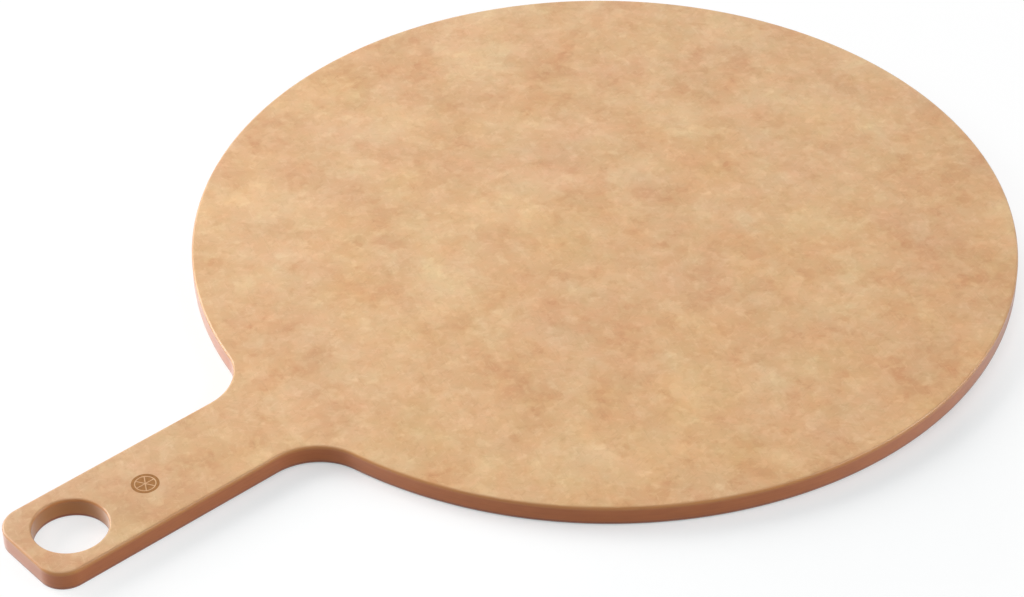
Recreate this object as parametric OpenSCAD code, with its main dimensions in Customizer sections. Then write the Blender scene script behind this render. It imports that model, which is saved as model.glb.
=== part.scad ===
// Round pizza serving board, pressed from resin-bound wood-fibre sheets.
// The disc and a straight handle with a hanging hole are cut in one outline.
// The origin is the disc's centre on the underside. The handle points along -Y, and +Z is up.

/* [Disc] */
// Diameter of the round serving face
disc_d = 355; // [240:1:450]
// Thickness of the finished board, through all its sheets
board_t = 9.2; // [6:0.2:16]
// Thickness of each of the two face sheets
face_t = 1.5; // [1.2:0.1:2.5]
// Radius of the quarter round along every outer edge and round the hole
ease_r = 1; // [0.4:0.1:1.4]

/* [Handle] */
// How far the handle stands out from the rim of the disc
handle_l = 125; // [90:1:250]
// Width of the handle
handle_w = 44; // [38:1:80]
// Radius of the two corners at the handle's end
corner_r = 11; // [3:0.5:20]
// Radius of the two inside curves where the handle runs into the disc
neck_r = 24.5; // [8:0.5:50]

/* [Hanging hole] */
// Diameter of the hanging hole
hole_d = 30; // [12:0.5:38]
// Distance from the centre of the hole to the end of the handle
hole_inset = 22; // [18:0.5:60]

/* [Hidden] */

// The core fills what the two face sheets leave
core_t = board_t - 2 * face_t;
disc_r = disc_d / 2;
handle_half = handle_w / 2;
// Distances towards the handle's end are measured from the disc's centre
handle_end = disc_r + handle_l;
hole_y = handle_end - hole_inset;
// Centres of the two end corners
corner_x = handle_half - corner_r;
corner_y = handle_end - corner_r;
// Centres of the two neck curves, each tangent to the disc's rim and to the handle's side
neck_x = handle_half + neck_r;
neck_y = sqrt((disc_r + neck_r) ^ 2 - neck_x ^ 2);
// Width of the band along the outline that is made piece by piece round the inner plate
band_w = 2 * ease_r;
// How far a cut runs past the face that it opens
overrun = 1;
// The step to which a place with a long fraction is first rounded
place_step = 0.01;
$fn = 180;

// A strip that reaches out to w and is t high, with its upper outer corner rounded by ease
module strip_profile(w, t, ease) {
    difference() {
        square([w, t]);
        if (ease > 0)
            translate([w - ease, t - ease])
                difference() {
                    square(ease + overrun);
                    circle(r = ease);
                }
    }
}

// A round cut of radius r through a sheet t thick, flared by ease at its upper edge
module flared_cut(r, t, ease) {
    rotate_extrude()
        union() {
            translate([0, -overrun])
                square([r, t + 2 * overrun]);
            if (ease > 0)
                difference() {
                    translate([0, t - ease])
                        square([r + ease, ease + overrun]);
                    translate([r + ease, t - ease])
                        circle(r = ease);
                }
        }
}

// Moves a piece by a rounded step and then by the small rest, so that tangent faces meet exactly
module place(x, y) {
    rounded = [round(x / place_step), round(y / place_step)] * place_step;
    translate(rounded)
        translate([x, y] - rounded)
            children();
}

// The slice between the disc's centre and the centres of the two neck curves
module neck_slice(bottom, top) {
    translate([0, 0, bottom])
        linear_extrude(top - bottom)
            polygon([[0, 0], [-neck_x, -neck_y], [neck_x, -neck_y]]);
}

// The disc without the slice that faces the handle
module disc(t, ease) {
    difference() {
        rotate_extrude()
            strip_profile(disc_r, t, ease);
        neck_slice(-overrun, t + overrun);
    }
}

// The slice that joins the disc to the handle, hollowed on each side by a neck curve
module neck(t, ease) {
    difference() {
        neck_slice(0, t);
        for (side = [-1, 1])
            place(side * neck_x, -neck_y)
                flared_cut(neck_r, t, ease);
    }
}

// The plain plate inside the outline, which overlaps every piece of the outline and carries it
module inner_plate(t) {
    inner_half = handle_half - band_w;
    inner_end = corner_y + ease_r;
    cylinder(h = t, r = disc_r - band_w);
    translate([-inner_half, -inner_end, 0])
        cube([2 * inner_half, inner_end, t]);
}

// Half of the stretch with straight sides, and a little more, running towards the handle's end
module half_bar(t, ease) {
    rotate([90, 0, 0])
        linear_extrude((corner_y - neck_y) / 2 + overrun)
            for (side = [0, 1])
                mirror([side, 0])
                    strip_profile(handle_half, t, ease);
}

// The stretch of the handle with straight sides, whose two halves overlap in the middle
module handle_bar(t, ease) {
    translate([0, -neck_y, 0])
        half_bar(t, ease);
    translate([0, -corner_y, 0])
        mirror([0, 1, 0])
            half_bar(t, ease);
}

// The straight end of the handle, with a round corner on each side
module handle_tip(t, ease) {
    translate([corner_x, -corner_y, 0])
        rotate([90, 0, -90])
            linear_extrude(2 * corner_x)
                strip_profile(corner_r, t, ease);
    for (side = [0, 1])
        mirror([side, 0, 0])
            translate([corner_x, -corner_y, 0])
                rotate([0, 0, -90])
                    rotate_extrude(angle = 90)
                        strip_profile(corner_r, t, ease);
}

// A sheet in the board's outline, t thick, with its upper edges rounded by ease
module sheet(t, ease) {
    difference() {
        union() {
            inner_plate(t);
            disc(t, ease);
            neck(t, ease);
            handle_bar(t, ease);
            handle_tip(t, ease);
        }
        translate([0, -hole_y, 0])
            flared_cut(hole_d / 2, t, ease);
    }
}

// The lower skin, which lies on the table and is rounded along its lower edges
module bottom_face_sheet() {
    color("#d0a578")
        translate([0, 0, face_t])
            mirror([0, 0, 1])
                sheet(face_t, ease_r);
}

// The thick pack of pressed sheets between the skins, with straight walls
module core() {
    color("#b57b52")
        translate([0, 0, face_t])
            sheet(core_t, 0);
}

// The upper skin, which carries the pizza and is rounded along its upper edges
module top_face_sheet() {
    color("#dbb48a")
        translate([0, 0, board_t - face_t])
            sheet(face_t, ease_r);
}

bottom_face_sheet();
core();
top_face_sheet();
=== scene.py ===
"""The looks of the pizza serving board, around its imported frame.

Sizes are in metres. The origin is the disc's centre on the underside, the handle lies
along -Y, and +Z is up.
"""

import math

import bpy
from mathutils import Matrix, Vector


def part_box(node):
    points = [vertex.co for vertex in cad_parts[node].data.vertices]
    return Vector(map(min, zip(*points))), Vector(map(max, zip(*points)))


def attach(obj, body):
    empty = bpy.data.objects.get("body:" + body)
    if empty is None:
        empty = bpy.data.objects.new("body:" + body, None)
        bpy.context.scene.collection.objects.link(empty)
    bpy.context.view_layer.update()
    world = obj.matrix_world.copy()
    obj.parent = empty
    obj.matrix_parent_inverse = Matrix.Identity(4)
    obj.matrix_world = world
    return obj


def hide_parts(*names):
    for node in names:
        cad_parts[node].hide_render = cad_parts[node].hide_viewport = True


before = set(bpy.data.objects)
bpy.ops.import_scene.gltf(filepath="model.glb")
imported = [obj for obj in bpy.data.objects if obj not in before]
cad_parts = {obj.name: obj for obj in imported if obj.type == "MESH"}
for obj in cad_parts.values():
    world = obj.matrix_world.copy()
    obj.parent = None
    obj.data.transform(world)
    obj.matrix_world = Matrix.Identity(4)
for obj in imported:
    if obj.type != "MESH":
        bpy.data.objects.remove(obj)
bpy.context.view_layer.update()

MM = 0.001

# ---- The board's sizes, as the CAD source has them ----
DISC_R = 177.5 * MM
HANDLE_L = 125 * MM
HANDLE_HALF = 22 * MM
CORNER_R = 11 * MM
NECK_R = 24.5 * MM
HOLE_R = 15 * MM
HOLE_INSET = 22 * MM
EASE = 1 * MM
HANDLE_END = DISC_R + HANDLE_L
HOLE_Y = HANDLE_END - HOLE_INSET
CORNER_X = HANDLE_HALF - CORNER_R
CORNER_Y = HANDLE_END - CORNER_R
NECK_X = HANDLE_HALF + NECK_R
NECK_Y = math.sqrt((DISC_R + NECK_R) ** 2 - NECK_X**2)
BOARD_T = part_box("top_face_sheet")[1].z


def linear(hex_colour):
    """An sRGB hex colour as linear RGBA."""
    channels = [int(hex_colour[i : i + 2], 16) / 255 for i in (1, 3, 5)]
    plain = (c / 12.92 if c <= 0.04045 else ((c + 0.055) / 1.055) ** 2.4 for c in channels)
    return (*plain, 1.0)


def add(tree, kind, inputs=(), out=0, **settings):
    """Adds a node with its settings, and gives back its output named or numbered out.

    inputs holds values or sockets, in order or by name.
    """
    node = tree.nodes.new(kind)
    for name, value in settings.items():
        setattr(node, name, value)
    for key, value in inputs.items() if isinstance(inputs, dict) else enumerate(inputs):
        for one in value if isinstance(value, list) else [value]:
            if isinstance(one, bpy.types.NodeSocket):
                tree.links.new(one, node.inputs[key])
            else:
                node.inputs[key].default_value = one
    return node.outputs[out] if len(node.outputs) else node


# ---- The shapes ----
# How many points each arc of an outline gets
DISC_POINTS = 480
NECK_POINTS = 32
CORNER_POINTS = 24
HOLE_POINTS = 120
SLICE_POINTS = 16
# Points closer than this are joined, and an edge that bends more than this stays sharp
WELD = 0.001 * MM
SHARP_ANGLE = math.radians(30)


def arc(centre, radius, start, end, count):
    """Points along an arc, both ends included, with angles in degrees."""
    angles = [math.radians(start + (end - start) * i / (count - 1)) for i in range(count)]
    return [
        (centre[0] + radius * math.cos(a), centre[1] + radius * math.sin(a)) for a in angles
    ]


def board_outline():
    """The board's outline, anticlockwise from the right of the neck."""
    lean = math.degrees(math.atan2(NECK_Y, NECK_X))
    half_step = (180 + 2 * lean) / DISC_POINTS / 2
    return [
        *arc((0, 0), DISC_R, half_step - lean, 180 + lean - half_step, DISC_POINTS),
        *arc((-NECK_X, -NECK_Y), NECK_R, lean, 0, NECK_POINTS),
        *arc((-CORNER_X, -CORNER_Y), CORNER_R, 180, 270, CORNER_POINTS),
        *arc((CORNER_X, -CORNER_Y), CORNER_R, 270, 360, CORNER_POINTS),
        *arc((NECK_X, -NECK_Y), NECK_R, 180, 180 - lean, NECK_POINTS),
    ]


def circle(centre_y, radius, count):
    """A circle on the handle's centre line, clockwise, so that its inside is the open side."""
    return arc((0, centre_y), radius, 360, 360 / count, count)


def loops_object(name, loops):
    """A mesh of loose points that remember which loop they are on and their place along it."""
    mesh = bpy.data.meshes.new(name)
    mesh.from_pydata([(x, y, 0) for loop in loops for x, y in loop], [], [])
    loop_of = [k for k, loop in enumerate(loops) for _ in loop]
    place = [float(i) for loop in loops for i in range(len(loop))]
    mesh.attributes.new("loop", "INT", "POINT").data.foreach_set("value", loop_of)
    mesh.attributes.new("place", "FLOAT", "POINT").data.foreach_set("value", place)
    obj = bpy.data.objects.new(name, mesh)
    bpy.context.scene.collection.objects.link(obj)
    return obj


def new_tree(name, sizes):
    """A Geometry Nodes group with a Geometry socket each way and the named inputs in sizes."""
    tree = bpy.data.node_groups.new(name, "GeometryNodeTree")
    tree.interface.new_socket("Geometry", in_out="INPUT", socket_type="NodeSocketGeometry")
    for label, kind in sizes.items():
        tree.interface.new_socket(label, in_out="INPUT", socket_type="NodeSocket" + kind)
    tree.interface.new_socket("Geometry", in_out="OUTPUT", socket_type="NodeSocketGeometry")
    return tree


def closed_loops(tree, geometry):
    """The loose points of loops_object as closed curves, whose normals point off the board."""
    points = add(tree, "GeometryNodeMeshToPoints", {"Mesh": geometry})
    loop = add(tree, "GeometryNodeInputNamedAttribute", ["loop"], "Attribute", data_type="INT")
    place = add(tree, "GeometryNodeInputNamedAttribute", ["place"], "Attribute")
    curves = add(tree, "GeometryNodePointsToCurves", [points, loop, place])
    poly = add(tree, "GeometryNodeCurveSplineType", [curves], spline_type="POLY")
    closed = add(tree, "GeometryNodeSetSplineCyclic", {"Geometry": poly, "Cyclic": True})
    return add(tree, "GeometryNodeSetCurveNormal", {"Curve": closed}, mode="Z_UP")


def sheet_tree():
    """Sweeps an eased edge along every loop of an outline and closes it with two flat faces."""
    tree = new_tree(
        "eased_sheet",
        {
            "Thickness": "Float",
            "Ease": "Float",
            "Ease Steps": "Int",
            "Rim": "Float",
            "Wander": "Float",
            "Wander Length": "Float",
            "Seed": "Float",
            "Base": "Float",
            "Face Down": "Bool",
            "Material": "Material",
        },
    )
    sizes = add(tree, "NodeGroupInput").node.outputs
    path = closed_loops(tree, sizes["Geometry"])
    where = add(tree, "GeometryNodeInputPosition")

    # A hand-sanded easing is a little broader in some places than in others
    scale = add(tree, "ShaderNodeMath", [1.0, sizes["Wander Length"]], operation="DIVIDE")
    waver = add(
        tree,
        "ShaderNodeTexNoise",
        {"Vector": where, "W": sizes["Seed"], "Scale": scale, "Detail": 1.0},
        noise_dimensions="4D",
    )
    centred = add(tree, "ShaderNodeMath", [waver, 0.5], operation="SUBTRACT")
    breadth = add(
        tree, "ShaderNodeMath", [centred, sizes["Wander"], 1.0], operation="MULTIPLY_ADD"
    )

    # The edge's profile, measured from the sharp corner that the easing takes off
    inset = add(tree, "ShaderNodeMath", [sizes["Ease"], -1.0], operation="MULTIPLY")
    brim_end = add(tree, "ShaderNodeMath", [inset, sizes["Rim"]], operation="SUBTRACT")
    deep = add(tree, "ShaderNodeMath", [sizes["Thickness"], 2.0], operation="MULTIPLY")
    wall = add(
        tree,
        "GeometryNodeCurvePrimitiveLine",
        {
            "Start": add(tree, "ShaderNodeCombineXYZ", {"Y": deep}),
            "End": add(tree, "ShaderNodeCombineXYZ", {"Y": sizes["Ease"]}),
        },
    )
    quarter = add(
        tree,
        "GeometryNodeCurveArc",
        {
            "Resolution": sizes["Ease Steps"],
            "Radius": sizes["Ease"],
            "Start Angle": 0.0,
            "Sweep Angle": -math.pi / 2,
        },
    )
    turn_at = add(tree, "ShaderNodeCombineXYZ", {"X": inset, "Y": sizes["Ease"]})
    turn = add(tree, "GeometryNodeTransform", {"Geometry": quarter, "Translation": turn_at})
    brim = add(
        tree,
        "GeometryNodeCurvePrimitiveLine",
        {
            "Start": add(tree, "ShaderNodeCombineXYZ", {"X": inset}),
            "End": add(tree, "ShaderNodeCombineXYZ", {"X": brim_end}),
        },
    )
    profile = add(tree, "GeometryNodeJoinGeometry", [[wall, turn, brim]])
    swept = add(
        tree,
        "GeometryNodeCurveToMesh",
        {"Curve": path, "Profile Curve": profile, "Scale": breadth},
    )
    outward = add(tree, "GeometryNodeFlipFaces", {"Mesh": swept})

    # The wall stops at the sheet's inner face
    floor_z = add(tree, "ShaderNodeMath", [sizes["Thickness"], -1.0], operation="MULTIPLY")
    at = add(tree, "ShaderNodeSeparateXYZ", [where]).node.outputs
    kept_z = add(tree, "ShaderNodeMath", [at["Z"], floor_z], operation="MAXIMUM")
    kept = add(tree, "ShaderNodeCombineXYZ", [at["X"], at["Y"], kept_z])
    walled = add(tree, "GeometryNodeSetPosition", {"Geometry": outward, "Position": kept})

    # The two flat faces
    flat_from = add(tree, "ShaderNodeMath", [brim_end, breadth], operation="MULTIPLY")
    away = add(tree, "GeometryNodeInputNormal")
    inward = add(
        tree, "ShaderNodeVectorMath", {0: away, "Scale": flat_from}, operation="SCALE"
    )
    shrunk = add(tree, "GeometryNodeSetPosition", {"Geometry": path, "Offset": inward})
    face = add(tree, "GeometryNodeFillCurve", {"Curve": shrunk})
    under = add(tree, "GeometryNodeFillCurve", {"Curve": path})
    drop = add(tree, "ShaderNodeCombineXYZ", {"Z": floor_z})
    lowered = add(tree, "GeometryNodeTransform", {"Geometry": under, "Translation": drop})
    inner = add(tree, "GeometryNodeFlipFaces", {"Mesh": lowered})
    whole = add(tree, "GeometryNodeJoinGeometry", [[walled, face, inner]])
    welded = add(tree, "GeometryNodeMergeByDistance", {"Geometry": whole, "Distance": WELD})

    # Face up, the sheet hangs from its upper face; face down, it is turned over
    top = add(tree, "ShaderNodeMath", [sizes["Base"], sizes["Thickness"]])
    rise = add(tree, "ShaderNodeCombineXYZ", {"Z": top})
    raised = add(tree, "GeometryNodeTransform", {"Geometry": welded, "Translation": rise})
    rest = add(tree, "ShaderNodeCombineXYZ", {"Z": sizes["Base"]})
    mirrored = add(
        tree,
        "GeometryNodeTransform",
        {"Geometry": welded, "Translation": rest, "Scale": (1.0, 1.0, -1.0)},
    )
    righted = add(tree, "GeometryNodeFlipFaces", {"Mesh": mirrored})
    chosen = add(
        tree,
        "GeometryNodeSwitch",
        {"Switch": sizes["Face Down"], "False": raised, "True": righted},
        input_type="GEOMETRY",
    )
    finish_tree(tree, chosen, sizes["Material"])
    return tree


def mark_tree():
    """A flat round cut in slices, inside a ring: thin slabs that stand on Middle."""
    tree = new_tree(
        "sliced_round",
        {
            "Radius": "Float",
            "Ring": "Float",
            "Cut": "Float",
            "Slices": "Int",
            "Steps": "Int",
            "Height": "Float",
            "Middle": "Vector",
            "Material": "Material",
        },
    )
    sizes = add(tree, "NodeGroupInput").node.outputs
    inside = add(tree, "ShaderNodeMath", [sizes["Radius"], sizes["Ring"]], operation="SUBTRACT")
    rims = [
        add(
            tree,
            "GeometryNodeCurvePrimitiveCircle",
            {"Resolution": sizes["Steps"], "Radius": radius},
        )
        for radius in (sizes["Radius"], inside)
    ]
    both = add(tree, "GeometryNodeJoinGeometry", [rims])
    ring = add(tree, "GeometryNodeFillCurve", {"Curve": both})

    # One slice, moved off the middle by what leaves an even cut between it and the next
    span = add(tree, "ShaderNodeMath", [math.tau, sizes["Slices"]], operation="DIVIDE")
    half_span = add(tree, "ShaderNodeMath", [span, -0.5], operation="MULTIPLY")
    lean = add(tree, "ShaderNodeMath", [half_span], operation="SINE")
    half_cut = add(tree, "ShaderNodeMath", [sizes["Cut"], -0.5], operation="MULTIPLY")
    shift = add(tree, "ShaderNodeMath", [half_cut, lean], operation="DIVIDE")
    room = add(tree, "ShaderNodeMath", [inside, sizes["Cut"]], operation="SUBTRACT")
    reach = add(tree, "ShaderNodeMath", [room, shift], operation="SUBTRACT")
    pie = add(
        tree,
        "GeometryNodeCurveArc",
        {
            "Resolution": SLICE_POINTS,
            "Radius": reach,
            "Start Angle": half_span,
            "Sweep Angle": span,
            "Connect Center": True,
        },
    )
    slab = add(tree, "GeometryNodeFillCurve", {"Curve": pie})
    aside = add(tree, "ShaderNodeCombineXYZ", {"X": shift})
    slice_ = add(tree, "GeometryNodeTransform", {"Geometry": slab, "Translation": aside})
    spots = add(tree, "GeometryNodePoints", {"Count": sizes["Slices"]})
    number = add(tree, "GeometryNodeInputIndex")
    heading = add(tree, "ShaderNodeMath", [number, span], operation="MULTIPLY")
    turned = add(tree, "ShaderNodeCombineXYZ", {"Z": heading})
    slices = add(
        tree,
        "GeometryNodeInstanceOnPoints",
        {"Points": spots, "Instance": slice_, "Rotation": turned},
    )
    real = add(tree, "GeometryNodeRealizeInstances", {"Geometry": slices})
    flat = add(tree, "GeometryNodeJoinGeometry", [[ring, real]])

    # Raised to Height, and closed underneath
    up = add(tree, "ShaderNodeCombineXYZ", {"Z": 1.0})
    raised = add(
        tree,
        "GeometryNodeExtrudeMesh",
        {"Mesh": flat, "Offset": up, "Offset Scale": sizes["Height"], "Individual": False},
    )
    under = add(tree, "GeometryNodeFlipFaces", {"Mesh": flat})
    whole = add(tree, "GeometryNodeJoinGeometry", [[raised, under]])
    welded = add(tree, "GeometryNodeMergeByDistance", {"Geometry": whole, "Distance": WELD})
    placed = add(
        tree, "GeometryNodeTransform", {"Geometry": welded, "Translation": sizes["Middle"]}
    )
    finish_tree(tree, placed, sizes["Material"])
    return tree


def finish_tree(tree, geometry, material):
    """Shades all but the sharp corners smooth, and ends the tree as faces of one material."""
    smooth = add(tree, "GeometryNodeSetShadeSmooth", {"Geometry": geometry})
    bend = add(tree, "GeometryNodeInputMeshEdgeAngle")
    sharp = add(tree, "ShaderNodeMath", [bend, SHARP_ANGLE], operation="GREATER_THAN")
    crisp = add(
        tree,
        "GeometryNodeSetShadeSmooth",
        {"Geometry": smooth, "Selection": sharp, "Shade Smooth": False},
        domain="EDGE",
    )
    real = add(tree, "GeometryNodeRealizeInstances", {"Geometry": crisp})
    dressed = add(tree, "GeometryNodeSetMaterial", {"Geometry": real, "Material": material})
    add(tree, "NodeGroupOutput", [dressed])


def made_by(obj, tree, sizes):
    """Runs a tree on obj with these named inputs, and leaves the result as a plain mesh."""
    modifier = obj.modifiers.new(tree.name, "NODES")
    modifier.node_group = tree
    sockets = {
        item.name: item.identifier
        for item in tree.interface.items_tree
        if item.item_type == "SOCKET" and item.in_out == "INPUT"
    }
    for label, value in sizes.items():
        modifier[sockets[label]] = value
    evaluated = obj.evaluated_get(bpy.context.evaluated_depsgraph_get())
    mesh = bpy.data.meshes.new_from_object(evaluated)
    obj.modifiers.clear()
    obj.data = mesh
    mesh.name = obj.name
    return obj


# ---- Materials ----

# The face: its deepest and palest fibre, and what the slow shifts of hue multiply them by
FACE_DEEP = "#bb7a3f"
FACE_PALE = "#e7c594"
FACE_RUDDY = (1.048, 0.976, 0.960, 1.0)
FACE_STRAW = (0.961, 1.024, 1.015, 1.0)
RESIN_YELLOW = (1.0, 1.0, 0.900, 1.0)
FIBRE_GREY = (1.0, 1.0, 1.100, 1.0)
# The face's roughness at the two ends of this span of its tone
FACE_ROUGH = (0.54, 0.44)
TONE_SPAN = (0.2, 0.8)
# Painted shade: from the first distance off the disc's centre to the second, the face turns
# browner and darker, as the handle lies farther from the lamps
HANDLE_PAINTED_SHADE = (0.900, 0.870, 0.890, 1.0)
HANDLE_SHADE_FROM = (185 * MM, 255 * MM)

# The machined edge: by the upper skin (lightened, a painted highlight), in the bored hole, at
# the foot (painted shade) and in between
# Partly the face sheet's own cut colour, partly a painted highlight on the upper ease
CUT_SKIN_AND_HIGHLIGHT = "#c8823a"
CUT_BORED = "#bd8141"
# Painted shade: the colour that darkens the lower edge where the board meets the floor
CUT_FOOT_SHADE = "#a35c36"
CUT_CORE = "#bd6b2c"
CUT_CORE_DEEP = "#b36124"
# The upper skin's painted highlight and the foot's painted shade fade out between these
# distances from the board's two faces, the foot's from this share of full. The hole's ends this
# far from its middle
SKIN_FADE = (0.6 * MM, 2.5 * MM)
FOOT_SHADE_SHARE = 0.8
BORE_REACH = HOLE_R + 2 * MM
# How far down the ease the face's colour ends, and how fast
FACE_ENDS = 0.9 * EASE
FACE_FADE = 1.8
# The ease is this much smoother than the face, up to this share of its height
EASE_SMOOTHER = 0.30
EASE_SMOOTH_FROM = 0.6

# The burnt mark at its palest and deepest
MARK_BURNT = "#a06c31"
MARK_DEEP = "#8a5922"

# The soft clouds: each one's size in mm, its detail, its roughness, how far it swirls
# and its strength
CLOUDS = (
    (62.0, 1.0, 0.5, 0.1, 0.45),
    (28.0, 2.0, 0.62, 0.1, 0.60),
    (9.0, 1.0, 0.50, 0.1, 0.22),
)
# The flakes of paper, with crisper edges: each layer's size in mm, where its edge starts
# and ends on the noise, and its strength
FLAKES = (
    (11.0, 0.53, 0.59, 0.105),
    (13.0, 0.46, 0.40, -0.105),
    (5.0, 0.56, 0.61, 0.095),
    (4.2, 0.42, 0.37, -0.080),
)
# About this share of the face lies under each layer of flakes
FLAKE_SHARE = 0.25
FLAKE_NOISE = {"Detail": 2.5, "Roughness": 0.5, "Distortion": 0.15}
# The slow shifts of hue: their size in mm, and the middle of a noise's range that is used
HUE_CLOUD = 22.5
HUE_NOISE = {"Detail": 3.0, "Roughness": 0.85}
RESIN_CLOUD = 40.0
RESIN_NOISE = {"W": 8.0, "Detail": 3.0, "Roughness": 0.7}
NOISE_SPAN = (0.3, 0.7)
# Down through the board the sheets' pattern is this many times finer than across it
PLY_STRETCH = 12.0
PLY_SHAPE = (1.0, 1.0, 1 / PLY_STRETCH)

# Single fibres, in mm and degrees, where on the noise they start and are full, and how
# much of them shows
FIBRE_LONG = 4.2
FIBRE_WIDE = 0.75
FIBRE_BEND = 0.6
FIBRE_TURNS = (20, 82, 141)
FLECK_DARK = "#9d6b33"
FLECK_DARK_EDGE = (0.64, 0.74)
FLECK_DARK_SHARE = 0.14
FLECK_PALE = "#f5d9b3"
FLECK_PALE_EDGE = (0.36, 0.26)
FLECK_PALE_SHARE = 0.11

# The plies that show faintly in the machined edge, the blotches over them, the marks of
# the sanding and the soot of the burnt mark, all in mm
PLY_PITCH = 0.45
PLY_RUN = 60.0
PLY_NOISE = {"Detail": 3.0, "Roughness": 0.65}
PLY_SPAN = (0.7, 1.3)
BLOTCH = (9.0, 9.0, 3.0)
SANDING_GRAIN = 0.35
SOOT_GRAIN = 1.2
STRAND_HEIGHT = 0.5
FACE_RELIEF = {"Strength": 0.12, "Distance": 0.03 * MM}
CUT_RELIEF = {"Strength": 0.15, "Distance": 0.02 * MM}
MARK_RELIEF = {"Strength": 0.3, "Distance": 0.02 * MM}


def new_material(name, **values):
    """An empty node material with its shader, whose plain sockets get these values."""
    material = bpy.data.materials.new(name)
    material.use_nodes = True
    tree = material.node_tree
    tree.nodes.clear()
    shader = add(tree, "ShaderNodeBsdfPrincipled").node
    for label, value in values.items():
        shader.inputs[label.replace("_", " ")].default_value = value
    add(tree, "ShaderNodeOutputMaterial", {"Surface": shader.outputs[0]})
    return material, tree, shader


def millimetres(tree, stretch=(1.0, 1.0, 1.0), turn=0.0):
    """Object coordinates in mm, divided by stretch after a turn about Z in degrees."""
    place = add(tree, "ShaderNodeTexCoord", out="Object")
    turned = add(
        tree,
        "ShaderNodeMapping",
        {"Vector": place, "Rotation": (0, 0, math.radians(turn)), "Scale": (1 / MM,) * 3},
    )
    return add(tree, "ShaderNodeVectorMath", [turned, stretch], operation="DIVIDE")


def clouds_of(tree):
    """The face's tone, 0.5 on average: soft clouds added up, with flakes of paper over them."""
    place = millimetres(tree, PLY_SHAPE)
    tone = 0.5 - sum(c[-1] for c in CLOUDS) / 2 - FLAKE_SHARE * sum(f[-1] for f in FLAKES)
    for size, detail, roughness, swirl, strength in CLOUDS:
        cloud = add(
            tree,
            "ShaderNodeTexNoise",
            {
                "Vector": place,
                "Scale": 1 / size,
                "Detail": detail,
                "Roughness": roughness,
                "Distortion": swirl,
            },
        )
        tone = add(tree, "ShaderNodeMath", [cloud, strength, tone], operation="MULTIPLY_ADD")
    for size, edge_start, edge_end, strength in FLAKES:
        spread = add(
            tree,
            "ShaderNodeTexNoise",
            {
                "Vector": place,
                "W": size,
                "Scale": 1 / size,
                **FLAKE_NOISE,
            },
            noise_dimensions="4D",
        )
        flake = add(
            tree,
            "ShaderNodeMapRange",
            [spread, edge_start, edge_end, 0.0, strength],
            interpolation_type="SMOOTHSTEP",
        )
        tone = add(tree, "ShaderNodeMath", [tone, flake])
    return tone


def fibres_of(tree):
    """Two masks of short single fibres that lie in several directions: dark and pale ones."""
    dark = pale = 0.0
    for turn in FIBRE_TURNS:
        strand = add(
            tree,
            "ShaderNodeTexNoise",
            {
                "Vector": millimetres(tree, (FIBRE_LONG, FIBRE_WIDE, 1 / PLY_STRETCH), turn),
                "Scale": 1.0,
                "Detail": 1.0,
                "Distortion": FIBRE_BEND,
            },
        )
        darker = add(tree, "ShaderNodeMapRange", [strand, *FLECK_DARK_EDGE, 0.0, 1.0])
        paler = add(tree, "ShaderNodeMapRange", [strand, *FLECK_PALE_EDGE, 0.0, 1.0])
        dark = add(tree, "ShaderNodeMath", [dark, darker], operation="MAXIMUM")
        pale = add(tree, "ShaderNodeMath", [pale, paler], operation="MAXIMUM")
    return dark, pale


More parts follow.
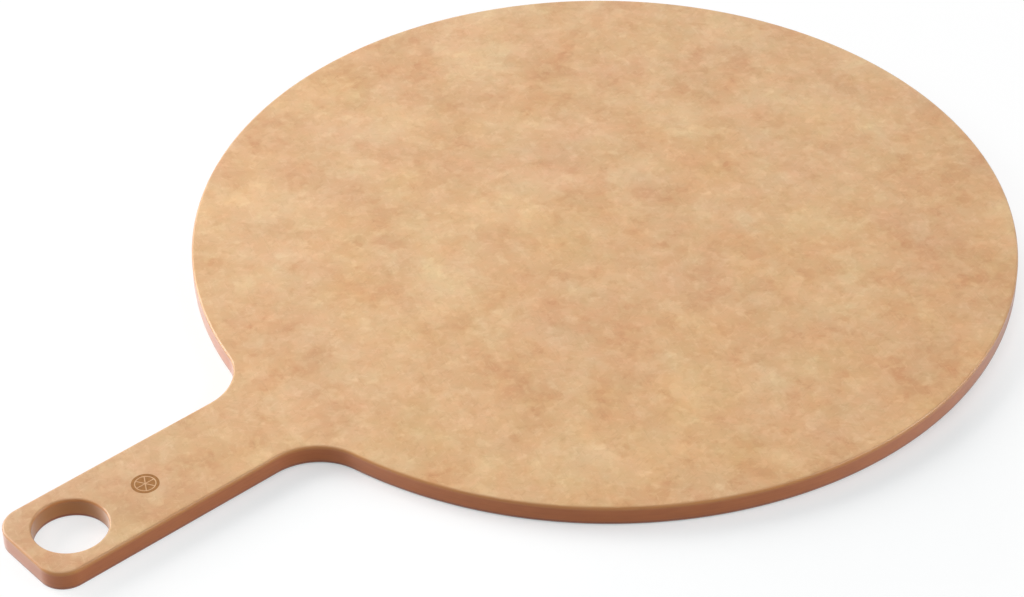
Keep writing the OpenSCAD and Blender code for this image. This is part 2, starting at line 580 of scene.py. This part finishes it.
def face_material():
    """Paper-and-resin laminate, pressed and sanded.

    The eye sees soft clouds of paler and redder fibre with short strands in them, under a
    satin sheen. Its cut edge is plain and browner.
    """
    material, tree, shader = new_material(
        "pressed_fibre_face_sanded", IOR=1.5, Sheen_Weight=0.9, Sheen_Roughness=0.4
    )
    tone = clouds_of(tree)
    colour = add(
        tree,
        "ShaderNodeMix",
        {0: tone, 6: linear(FACE_DEEP), 7: linear(FACE_PALE)},
        2,
        data_type="RGBA",
    )
    hue = add(
        tree,
        "ShaderNodeTexNoise",
        {
            "Vector": millimetres(tree, PLY_SHAPE),
            "Scale": 1 / HUE_CLOUD,
            **HUE_NOISE,
        },
    )
    spread_hue = add(tree, "ShaderNodeMapRange", [hue, *NOISE_SPAN, 0.0, 1.0])
    tint = add(
        tree,
        "ShaderNodeMix",
        {0: spread_hue, 6: FACE_RUDDY, 7: FACE_STRAW},
        2,
        data_type="RGBA",
    )
    ruddied = add(
        tree,
        "ShaderNodeMix",
        {0: 1.0, 6: colour, 7: tint},
        2,
        data_type="RGBA",
        blend_type="MULTIPLY",
    )
    resin = add(
        tree,
        "ShaderNodeTexNoise",
        {
            "Vector": millimetres(tree, PLY_SHAPE),
            "Scale": 1 / RESIN_CLOUD,
            **RESIN_NOISE,
        },
        noise_dimensions="4D",
    )
    spread_resin = add(tree, "ShaderNodeMapRange", [resin, *NOISE_SPAN, 0.0, 1.0])
    yellowing = add(
        tree,
        "ShaderNodeMix",
        {0: spread_resin, 6: FIBRE_GREY, 7: RESIN_YELLOW},
        2,
        data_type="RGBA",
    )
    tinted = add(
        tree,
        "ShaderNodeMix",
        {0: 1.0, 6: ruddied, 7: yellowing},
        2,
        data_type="RGBA",
        blend_type="MULTIPLY",
    )

    # Painted shade: the handle is darkened a shade browner than the disc, as it lies farther
    # from the lamps
    place = add(tree, "ShaderNodeTexCoord", out="Object")
    at = add(tree, "ShaderNodeSeparateXYZ", [place]).node.outputs
    along = add(
        tree, "ShaderNodeMapRange", [at["Y"], -HANDLE_SHADE_FROM[0], -HANDLE_SHADE_FROM[1], 0.0, 1.0]
    )
    handle_painted_shade = add(
        tree,
        "ShaderNodeMix",
        {0: along, 6: tinted, 7: HANDLE_PAINTED_SHADE},
        2,
        data_type="RGBA",
        blend_type="MULTIPLY",
    )

    dark, pale = fibres_of(tree)
    dark_share = add(tree, "ShaderNodeMath", [dark, FLECK_DARK_SHARE], operation="MULTIPLY")
    pale_share = add(tree, "ShaderNodeMath", [pale, FLECK_PALE_SHARE], operation="MULTIPLY")
    with_dark = add(
        tree,
        "ShaderNodeMix",
        {0: dark_share, 6: handle_painted_shade, 7: linear(FLECK_DARK)},
        2,
        data_type="RGBA",
    )
    with_pale = add(
        tree,
        "ShaderNodeMix",
        {0: pale_share, 6: with_dark, 7: linear(FLECK_PALE)},
        2,
        data_type="RGBA",
    )

    # Down the eased edge the face gives way to the browner cut: lighter on the upper ease, a
    # painted highlight, and darker on the lower one, painted shade
    off_middle = add(tree, "ShaderNodeMath", [at["Z"], BOARD_T / 2], operation="SUBTRACT")
    from_middle = add(tree, "ShaderNodeMath", [off_middle], operation="ABSOLUTE")
    up_the_ease = add(
        tree,
        "ShaderNodeMapRange",
        [from_middle, BOARD_T / 2 - FACE_ENDS, BOARD_T / 2, 0.0, 1.0],
    )
    face_share = add(tree, "ShaderNodeMath", [up_the_ease, FACE_FADE], operation="POWER")
    # Painted light: the upper ease takes the lightened skin colour, the lower ease the foot's
    # painted shade
    upper = add(tree, "ShaderNodeMath", [off_middle, 0.0], operation="GREATER_THAN")
    cut = add(
        tree,
        "ShaderNodeMix",
        {0: upper, 6: linear(CUT_FOOT_SHADE), 7: linear(CUT_SKIN_AND_HIGHLIGHT)},
        2,
        data_type="RGBA",
    )
    all_over = add(
        tree,
        "ShaderNodeMix",
        {0: face_share, 6: cut, 7: with_pale},
        2,
        data_type="RGBA",
    )
    tree.links.new(all_over, shader.inputs["Base Color"])

    # Strands and sanding marks, in a relief of hundredths of a millimetre
    grain = add(
        tree,
        "ShaderNodeTexNoise",
        {"Vector": millimetres(tree), "Scale": 1 / SANDING_GRAIN, "Detail": 2.0},
    )
    strands = add(tree, "ShaderNodeMath", [pale, dark], operation="SUBTRACT")
    relief = add(
        tree, "ShaderNodeMath", [strands, STRAND_HEIGHT, grain], operation="MULTIPLY_ADD"
    )
    bump = add(tree, "ShaderNodeBump", {**FACE_RELIEF, "Height": relief})
    tree.links.new(bump, shader.inputs["Normal"])
    rough = add(tree, "ShaderNodeMapRange", [tone, *TONE_SPAN, *FACE_ROUGH])
    smoother = add(
        tree, "ShaderNodeMapRange", [up_the_ease, EASE_SMOOTH_FROM, 1.0, EASE_SMOOTHER, 0.0]
    )
    all_rough = add(tree, "ShaderNodeMath", [rough, smoother], operation="SUBTRACT")
    tree.links.new(all_rough, shader.inputs["Roughness"])
    return material


def core_material():
    """The same laminate cut by a router.

    The eye sees it as denser, redder and smoother than the face, with faint plies along it.
    """
    material, tree, shader = new_material(
        "pressed_fibre_edge_machined",
        Roughness=0.35,
        IOR=1.42,
        Sheen_Weight=0.7,
        Sheen_Roughness=0.42,
    )
    plies = add(
        tree,
        "ShaderNodeTexNoise",
        {
            "Vector": millimetres(tree, (PLY_RUN, PLY_RUN, PLY_PITCH)),
            "Scale": 1.0,
            **PLY_NOISE,
        },
    )
    blotches = add(
        tree,
        "ShaderNodeTexNoise",
        {"Vector": millimetres(tree, BLOTCH), "Scale": 1.0, "Detail": 2.0},
    )
    mixed = add(tree, "ShaderNodeMath", [plies, blotches])
    tone = add(tree, "ShaderNodeMapRange", [mixed, *PLY_SPAN, 0.0, 1.0])
    colour = add(
        tree,
        "ShaderNodeMix",
        {0: tone, 6: linear(CUT_CORE_DEEP), 7: linear(CUT_CORE)},
        2,
        data_type="RGBA",
    )

    # The cut is yellower towards the upper skin, partly as a painted highlight, and in the
    # bored hole, and darker at the foot as painted shade
    place = add(tree, "ShaderNodeTexCoord", out="Object")
    z = add(tree, "ShaderNodeSeparateXYZ", [place], "Z")
    upward = add(
        tree,
        "ShaderNodeMapRange",
        [z, BOARD_T - SKIN_FADE[1], BOARD_T - SKIN_FADE[0], 0.0, 1.0],
        interpolation_type="SMOOTHSTEP",
    )
    level = add(tree, "ShaderNodeVectorMath", [place, (1.0, 1.0, 0.0)], operation="MULTIPLY")
    hole = (0.0, -HOLE_Y, 0.0)
    off_hole = add(tree, "ShaderNodeVectorMath", [level, hole], "Value", operation="DISTANCE")
    bored = add(tree, "ShaderNodeMath", [off_hole, BORE_REACH], operation="LESS_THAN")
    # Painted shade: the wall's foot darkened towards the floor
    painted_foot_shade = add(
        tree,
        "ShaderNodeMapRange",
        [z, *SKIN_FADE, FOOT_SHADE_SHARE, 0.0],
        interpolation_type="SMOOTHSTEP",
    )
    topped = add(
        tree,
        "ShaderNodeMix",
        {0: upward, 6: colour, 7: linear(CUT_SKIN_AND_HIGHLIGHT)},
        2,
        data_type="RGBA",
    )
    drilled = add(
        tree,
        "ShaderNodeMix",
        {0: bored, 6: topped, 7: linear(CUT_BORED)},
        2,
        data_type="RGBA",
    )
    all_over = add(
        tree,
        "ShaderNodeMix",
        {0: painted_foot_shade, 6: drilled, 7: linear(CUT_FOOT_SHADE)},
        2,
        data_type="RGBA",
    )
    tree.links.new(all_over, shader.inputs["Base Color"])
    bump = add(tree, "ShaderNodeBump", {**CUT_RELIEF, "Height": plies})
    tree.links.new(bump, shader.inputs["Normal"])
    return material


def mark_material():
    """The face burnt by a laser: matt and brown, a little darker where the beam lingered."""
    material, tree, shader = new_material("pressed_fibre_laser_burnt", Roughness=0.7, IOR=1.5)
    soot = add(
        tree,
        "ShaderNodeTexNoise",
        {"Vector": millimetres(tree, (SOOT_GRAIN,) * 3), "Scale": 1.0, "Detail": 3.0},
    )
    tone = add(tree, "ShaderNodeMapRange", [soot, *NOISE_SPAN, 0.0, 1.0])
    colour = add(
        tree,
        "ShaderNodeMix",
        {0: tone, 6: linear(MARK_DEEP), 7: linear(MARK_BURNT)},
        2,
        data_type="RGBA",
    )
    tree.links.new(colour, shader.inputs["Base Color"])
    bump = add(tree, "ShaderNodeBump", {**MARK_RELIEF, "Height": soot})
    tree.links.new(bump, shader.inputs["Normal"])
    return material


face_finish = face_material()
core_finish = core_material()
mark_finish = mark_material()

# ---- The pieces ----
# The easing's steps, the flat rim inside it, and how far and over what length it wanders
EASE_STEPS = 9
RIM = 1.2 * MM
WANDER = 0.16
WANDER_LENGTH = 45 * MM
# The burnt mark: its parts, its place along the handle, and how deep and proud it lies
MARK_SLICES = 6
MARK_STEPS = 72
MARK_R = 5.65 * MM
MARK_RING = 1.25 * MM
MARK_CUT = 0.42 * MM
MARK_Y = 244.7 * MM
MARK_DEPTH = 0.1 * MM
MARK_PROUD = 0.02 * MM

eased_sheet = sheet_tree()


def board_piece(name, node, finish, seed, ease=EASE, face_down=False):
    """One layer of the board over its whole outline, in the place of its CAD node."""
    low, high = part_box(node)
    obj = loops_object(name, [board_outline(), circle(-HOLE_Y, HOLE_R, HOLE_POINTS)])
    made_by(
        obj,
        eased_sheet,
        {
            "Thickness": high.z - low.z,
            "Ease": ease,
            "Ease Steps": EASE_STEPS,
            "Rim": RIM,
            "Wander": WANDER,
            "Wander Length": WANDER_LENGTH,
            "Seed": seed,
            "Base": low.z,
            "Face Down": face_down,
            "Material": finish,
        },
    )
    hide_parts(node)
    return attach(obj, "root")


board_piece("top_face", "top_face_sheet", face_finish, seed=1.7)
board_piece("core_wall", "core", core_finish, seed=0.0, ease=0.0)
board_piece(
    "bottom_face", "bottom_face_sheet", face_finish, seed=5.3, face_down=True
)

# A plain round cut in slices, burnt into the handle
mark = bpy.data.objects.new("handle_mark", bpy.data.meshes.new("handle_mark"))
bpy.context.scene.collection.objects.link(mark)
made_by(
    mark,
    mark_tree(),
    {
        "Radius": MARK_R,
        "Ring": MARK_RING,
        "Cut": MARK_CUT,
        "Slices": MARK_SLICES,
        "Steps": MARK_STEPS,
        "Height": MARK_DEPTH + MARK_PROUD,
        "Middle": (0.0, -MARK_Y, BOARD_T - MARK_DEPTH),
        "Material": mark_finish,
    },
)
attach(mark, "root")

# ---- Camera, from the photograph's lens and place ----
SENSOR_MM = 36.0
LENS_MM = 110.107
CAMERA_AT = (0.7803, -0.7341, 0.8358)
CAMERA_RIGHT = (0.66241671, 0.74909329, -0.00795896)
CAMERA_AHEAD = (-0.58590278, 0.51142985, -0.62861549)
camera_data = bpy.data.cameras.new("camera")
camera_data.sensor_fit = "HORIZONTAL"
camera_data.sensor_width = SENSOR_MM
camera_data.lens = LENS_MM
camera = bpy.data.objects.new("camera", camera_data)
right, ahead = Vector(CAMERA_RIGHT), Vector(CAMERA_AHEAD)
turn = Matrix((right, right.cross(ahead), -ahead)).transposed().to_4x4()
camera.matrix_world = Matrix.Translation(CAMERA_AT) @ turn
bpy.context.scene.collection.objects.link(camera)
bpy.context.scene.camera = camera
bpy.context.scene.view_settings.view_transform = "Standard"

# ---- Floor and light ----
# The floor's half side, and how far it lies under the board
FLOOR_HALF = 8.0
FLOOR_DROP = 0.02 * MM
# The paper that lights the board from below, and the paper that is seen, with the glow
# that lifts its shadows
FLOOR_PAPER = "#e6e6e8"
FLOOR_LIT = "#e9e2df"
FLOOR_SHADE = "#ddf6ff"
FLOOR_LIFT = 0.301
# The seen floor fades to white between these distances from the disc's centre, and sooner,
# but not all the way, from a point in front of it
SHADE_REACH = (0.19, 0.38)
SHADE_CENTRE = (0.03, -0.12, 0.0)
SHADE_ROUND = (0.21, 0.28)
SHADE_BEHIND = 0.85
floor_mesh = bpy.data.meshes.new("floor")
corners = [(-1, -1), (1, -1), (1, 1), (-1, 1)]
floor_mesh.from_pydata(
    [(x * FLOOR_HALF, y * FLOOR_HALF, -FLOOR_DROP) for x, y in corners], [], [(0, 1, 2, 3)]
)
floor = bpy.data.objects.new("floor", floor_mesh)
bpy.context.scene.collection.objects.link(floor)


def floor_material():
    """A plain white sweep.

    Seen straight, in a gloss or through glass it is lifted to white, and it keeps the
    board's shadow near the board.
    """
    material = bpy.data.materials.new("floor_white_sweep")
    material.use_nodes = True
    tree = material.node_tree
    tree.nodes.clear()
    paper = add(tree, "ShaderNodeBsdfDiffuse", {"Color": linear(FLOOR_PAPER)})
    dimmed = add(tree, "ShaderNodeBsdfDiffuse", {"Color": linear(FLOOR_LIT)})
    lift = add(
        tree, "ShaderNodeEmission", {"Color": linear(FLOOR_SHADE), "Strength": FLOOR_LIFT}
    )
    near = add(tree, "ShaderNodeAddShader", [dimmed, lift])
    white = add(tree, "ShaderNodeEmission", {"Color": (1, 1, 1, 1), "Strength": 1.0})
    place = add(tree, "ShaderNodeTexCoord", out="Object")
    reach = add(tree, "ShaderNodeVectorMath", [place], "Value", operation="LENGTH")
    beyond = add(tree, "ShaderNodeMapRange", [reach, *SHADE_REACH, 0.0, 1.0])
    off_front = add(
        tree, "ShaderNodeVectorMath", [place, SHADE_CENTRE], "Value", operation="DISTANCE"
    )
    behind = add(tree, "ShaderNodeMapRange", [off_front, *SHADE_ROUND, 0.0, SHADE_BEHIND])
    far = add(tree, "ShaderNodeMath", [beyond, behind], operation="MAXIMUM")
    seen = add(tree, "ShaderNodeMixShader", [far, near, white])
    path = add(tree, "ShaderNodeLightPath").node.outputs
    straight = add(
        tree,
        "ShaderNodeMath",
        [path["Is Camera Ray"], path["Is Glossy Ray"]],
        operation="MAXIMUM",
    )
    seen_so = add(
        tree, "ShaderNodeMath", [straight, path["Is Transmission Ray"]], operation="MAXIMUM"
    )
    either = add(tree, "ShaderNodeMixShader", [seen_so, paper, seen])
    add(tree, "ShaderNodeOutputMaterial", {"Surface": either})
    return material


floor_mesh.materials.append(floor_material())

# The room is white where it is seen straight, in a gloss or through glass, and gives no
# other light
ROOM_LIGHT = 0.0
world = bpy.data.worlds.new("studio")
bpy.context.scene.world = world
world.use_nodes = True
room = world.node_tree
room.nodes.clear()
dim = add(room, "ShaderNodeBackground", {"Color": (1, 1, 1, 1), "Strength": ROOM_LIGHT})
bright = add(room, "ShaderNodeBackground", {"Color": (1, 1, 1, 1), "Strength": 1.0})
looks = add(room, "ShaderNodeLightPath").node.outputs
seen_room = add(
    room,
    "ShaderNodeMath",
    [looks["Is Camera Ray"], looks["Is Glossy Ray"]],
    operation="MAXIMUM",
)
clear_room = add(
    room, "ShaderNodeMath", [seen_room, looks["Is Transmission Ray"]], operation="MAXIMUM"
)
shown = add(room, "ShaderNodeMixShader", [clear_room, dim, bright])
add(room, "ShaderNodeOutputWorld", {"Surface": shown})

# Each lamp: the way to it in the picture (0 is right, 90 is the back) and its height, in
# degrees, its distance and side, in metres, and watts
LAMPS = {
    "key_back_left": (158, 20, 1.6, 1.0, 22.1),
    "key_left": (180, 20, 1.6, 1.0, 5.7),
    "fill_back": (135, 32, 1.6, 1.0, 5.8),
    "fill_near_left": (225, 60, 1.6, 1.0, 5.8),
    "fill_right": (0, 18, 1.6, 1.0, 8.6),
    "fill_near_right": (338, 32, 1.6, 1.0, 6.1),
    "overhead": (90, 89.9, 1.9, 2.0, 8.1),
}
# The picture's right and back, level with the floor
PICTURE_RIGHT = Vector((0.662, 0.749, 0)).normalized()
PICTURE_BACK = Vector((-0.753, 0.657, 0)).normalized()
for lamp_name, (way, height, distance, side, watts) in LAMPS.items():
    way, height = math.radians(way), math.radians(height)
    level = math.cos(way) * PICTURE_RIGHT + math.sin(way) * PICTURE_BACK
    toward = math.cos(height) * level + Vector((0, 0, math.sin(height)))
    lamp_data = bpy.data.lights.new(lamp_name, "AREA")
    lamp_data.shape = "SQUARE"
    lamp_data.size = side
    lamp_data.energy = watts
    lamp = bpy.data.objects.new(lamp_name, lamp_data)
    bpy.context.scene.collection.objects.link(lamp)
    lamp.location = toward * distance
    lamp.rotation_mode = "QUATERNION"
    lamp.rotation_quaternion = toward.to_track_quat("Z", "Y")
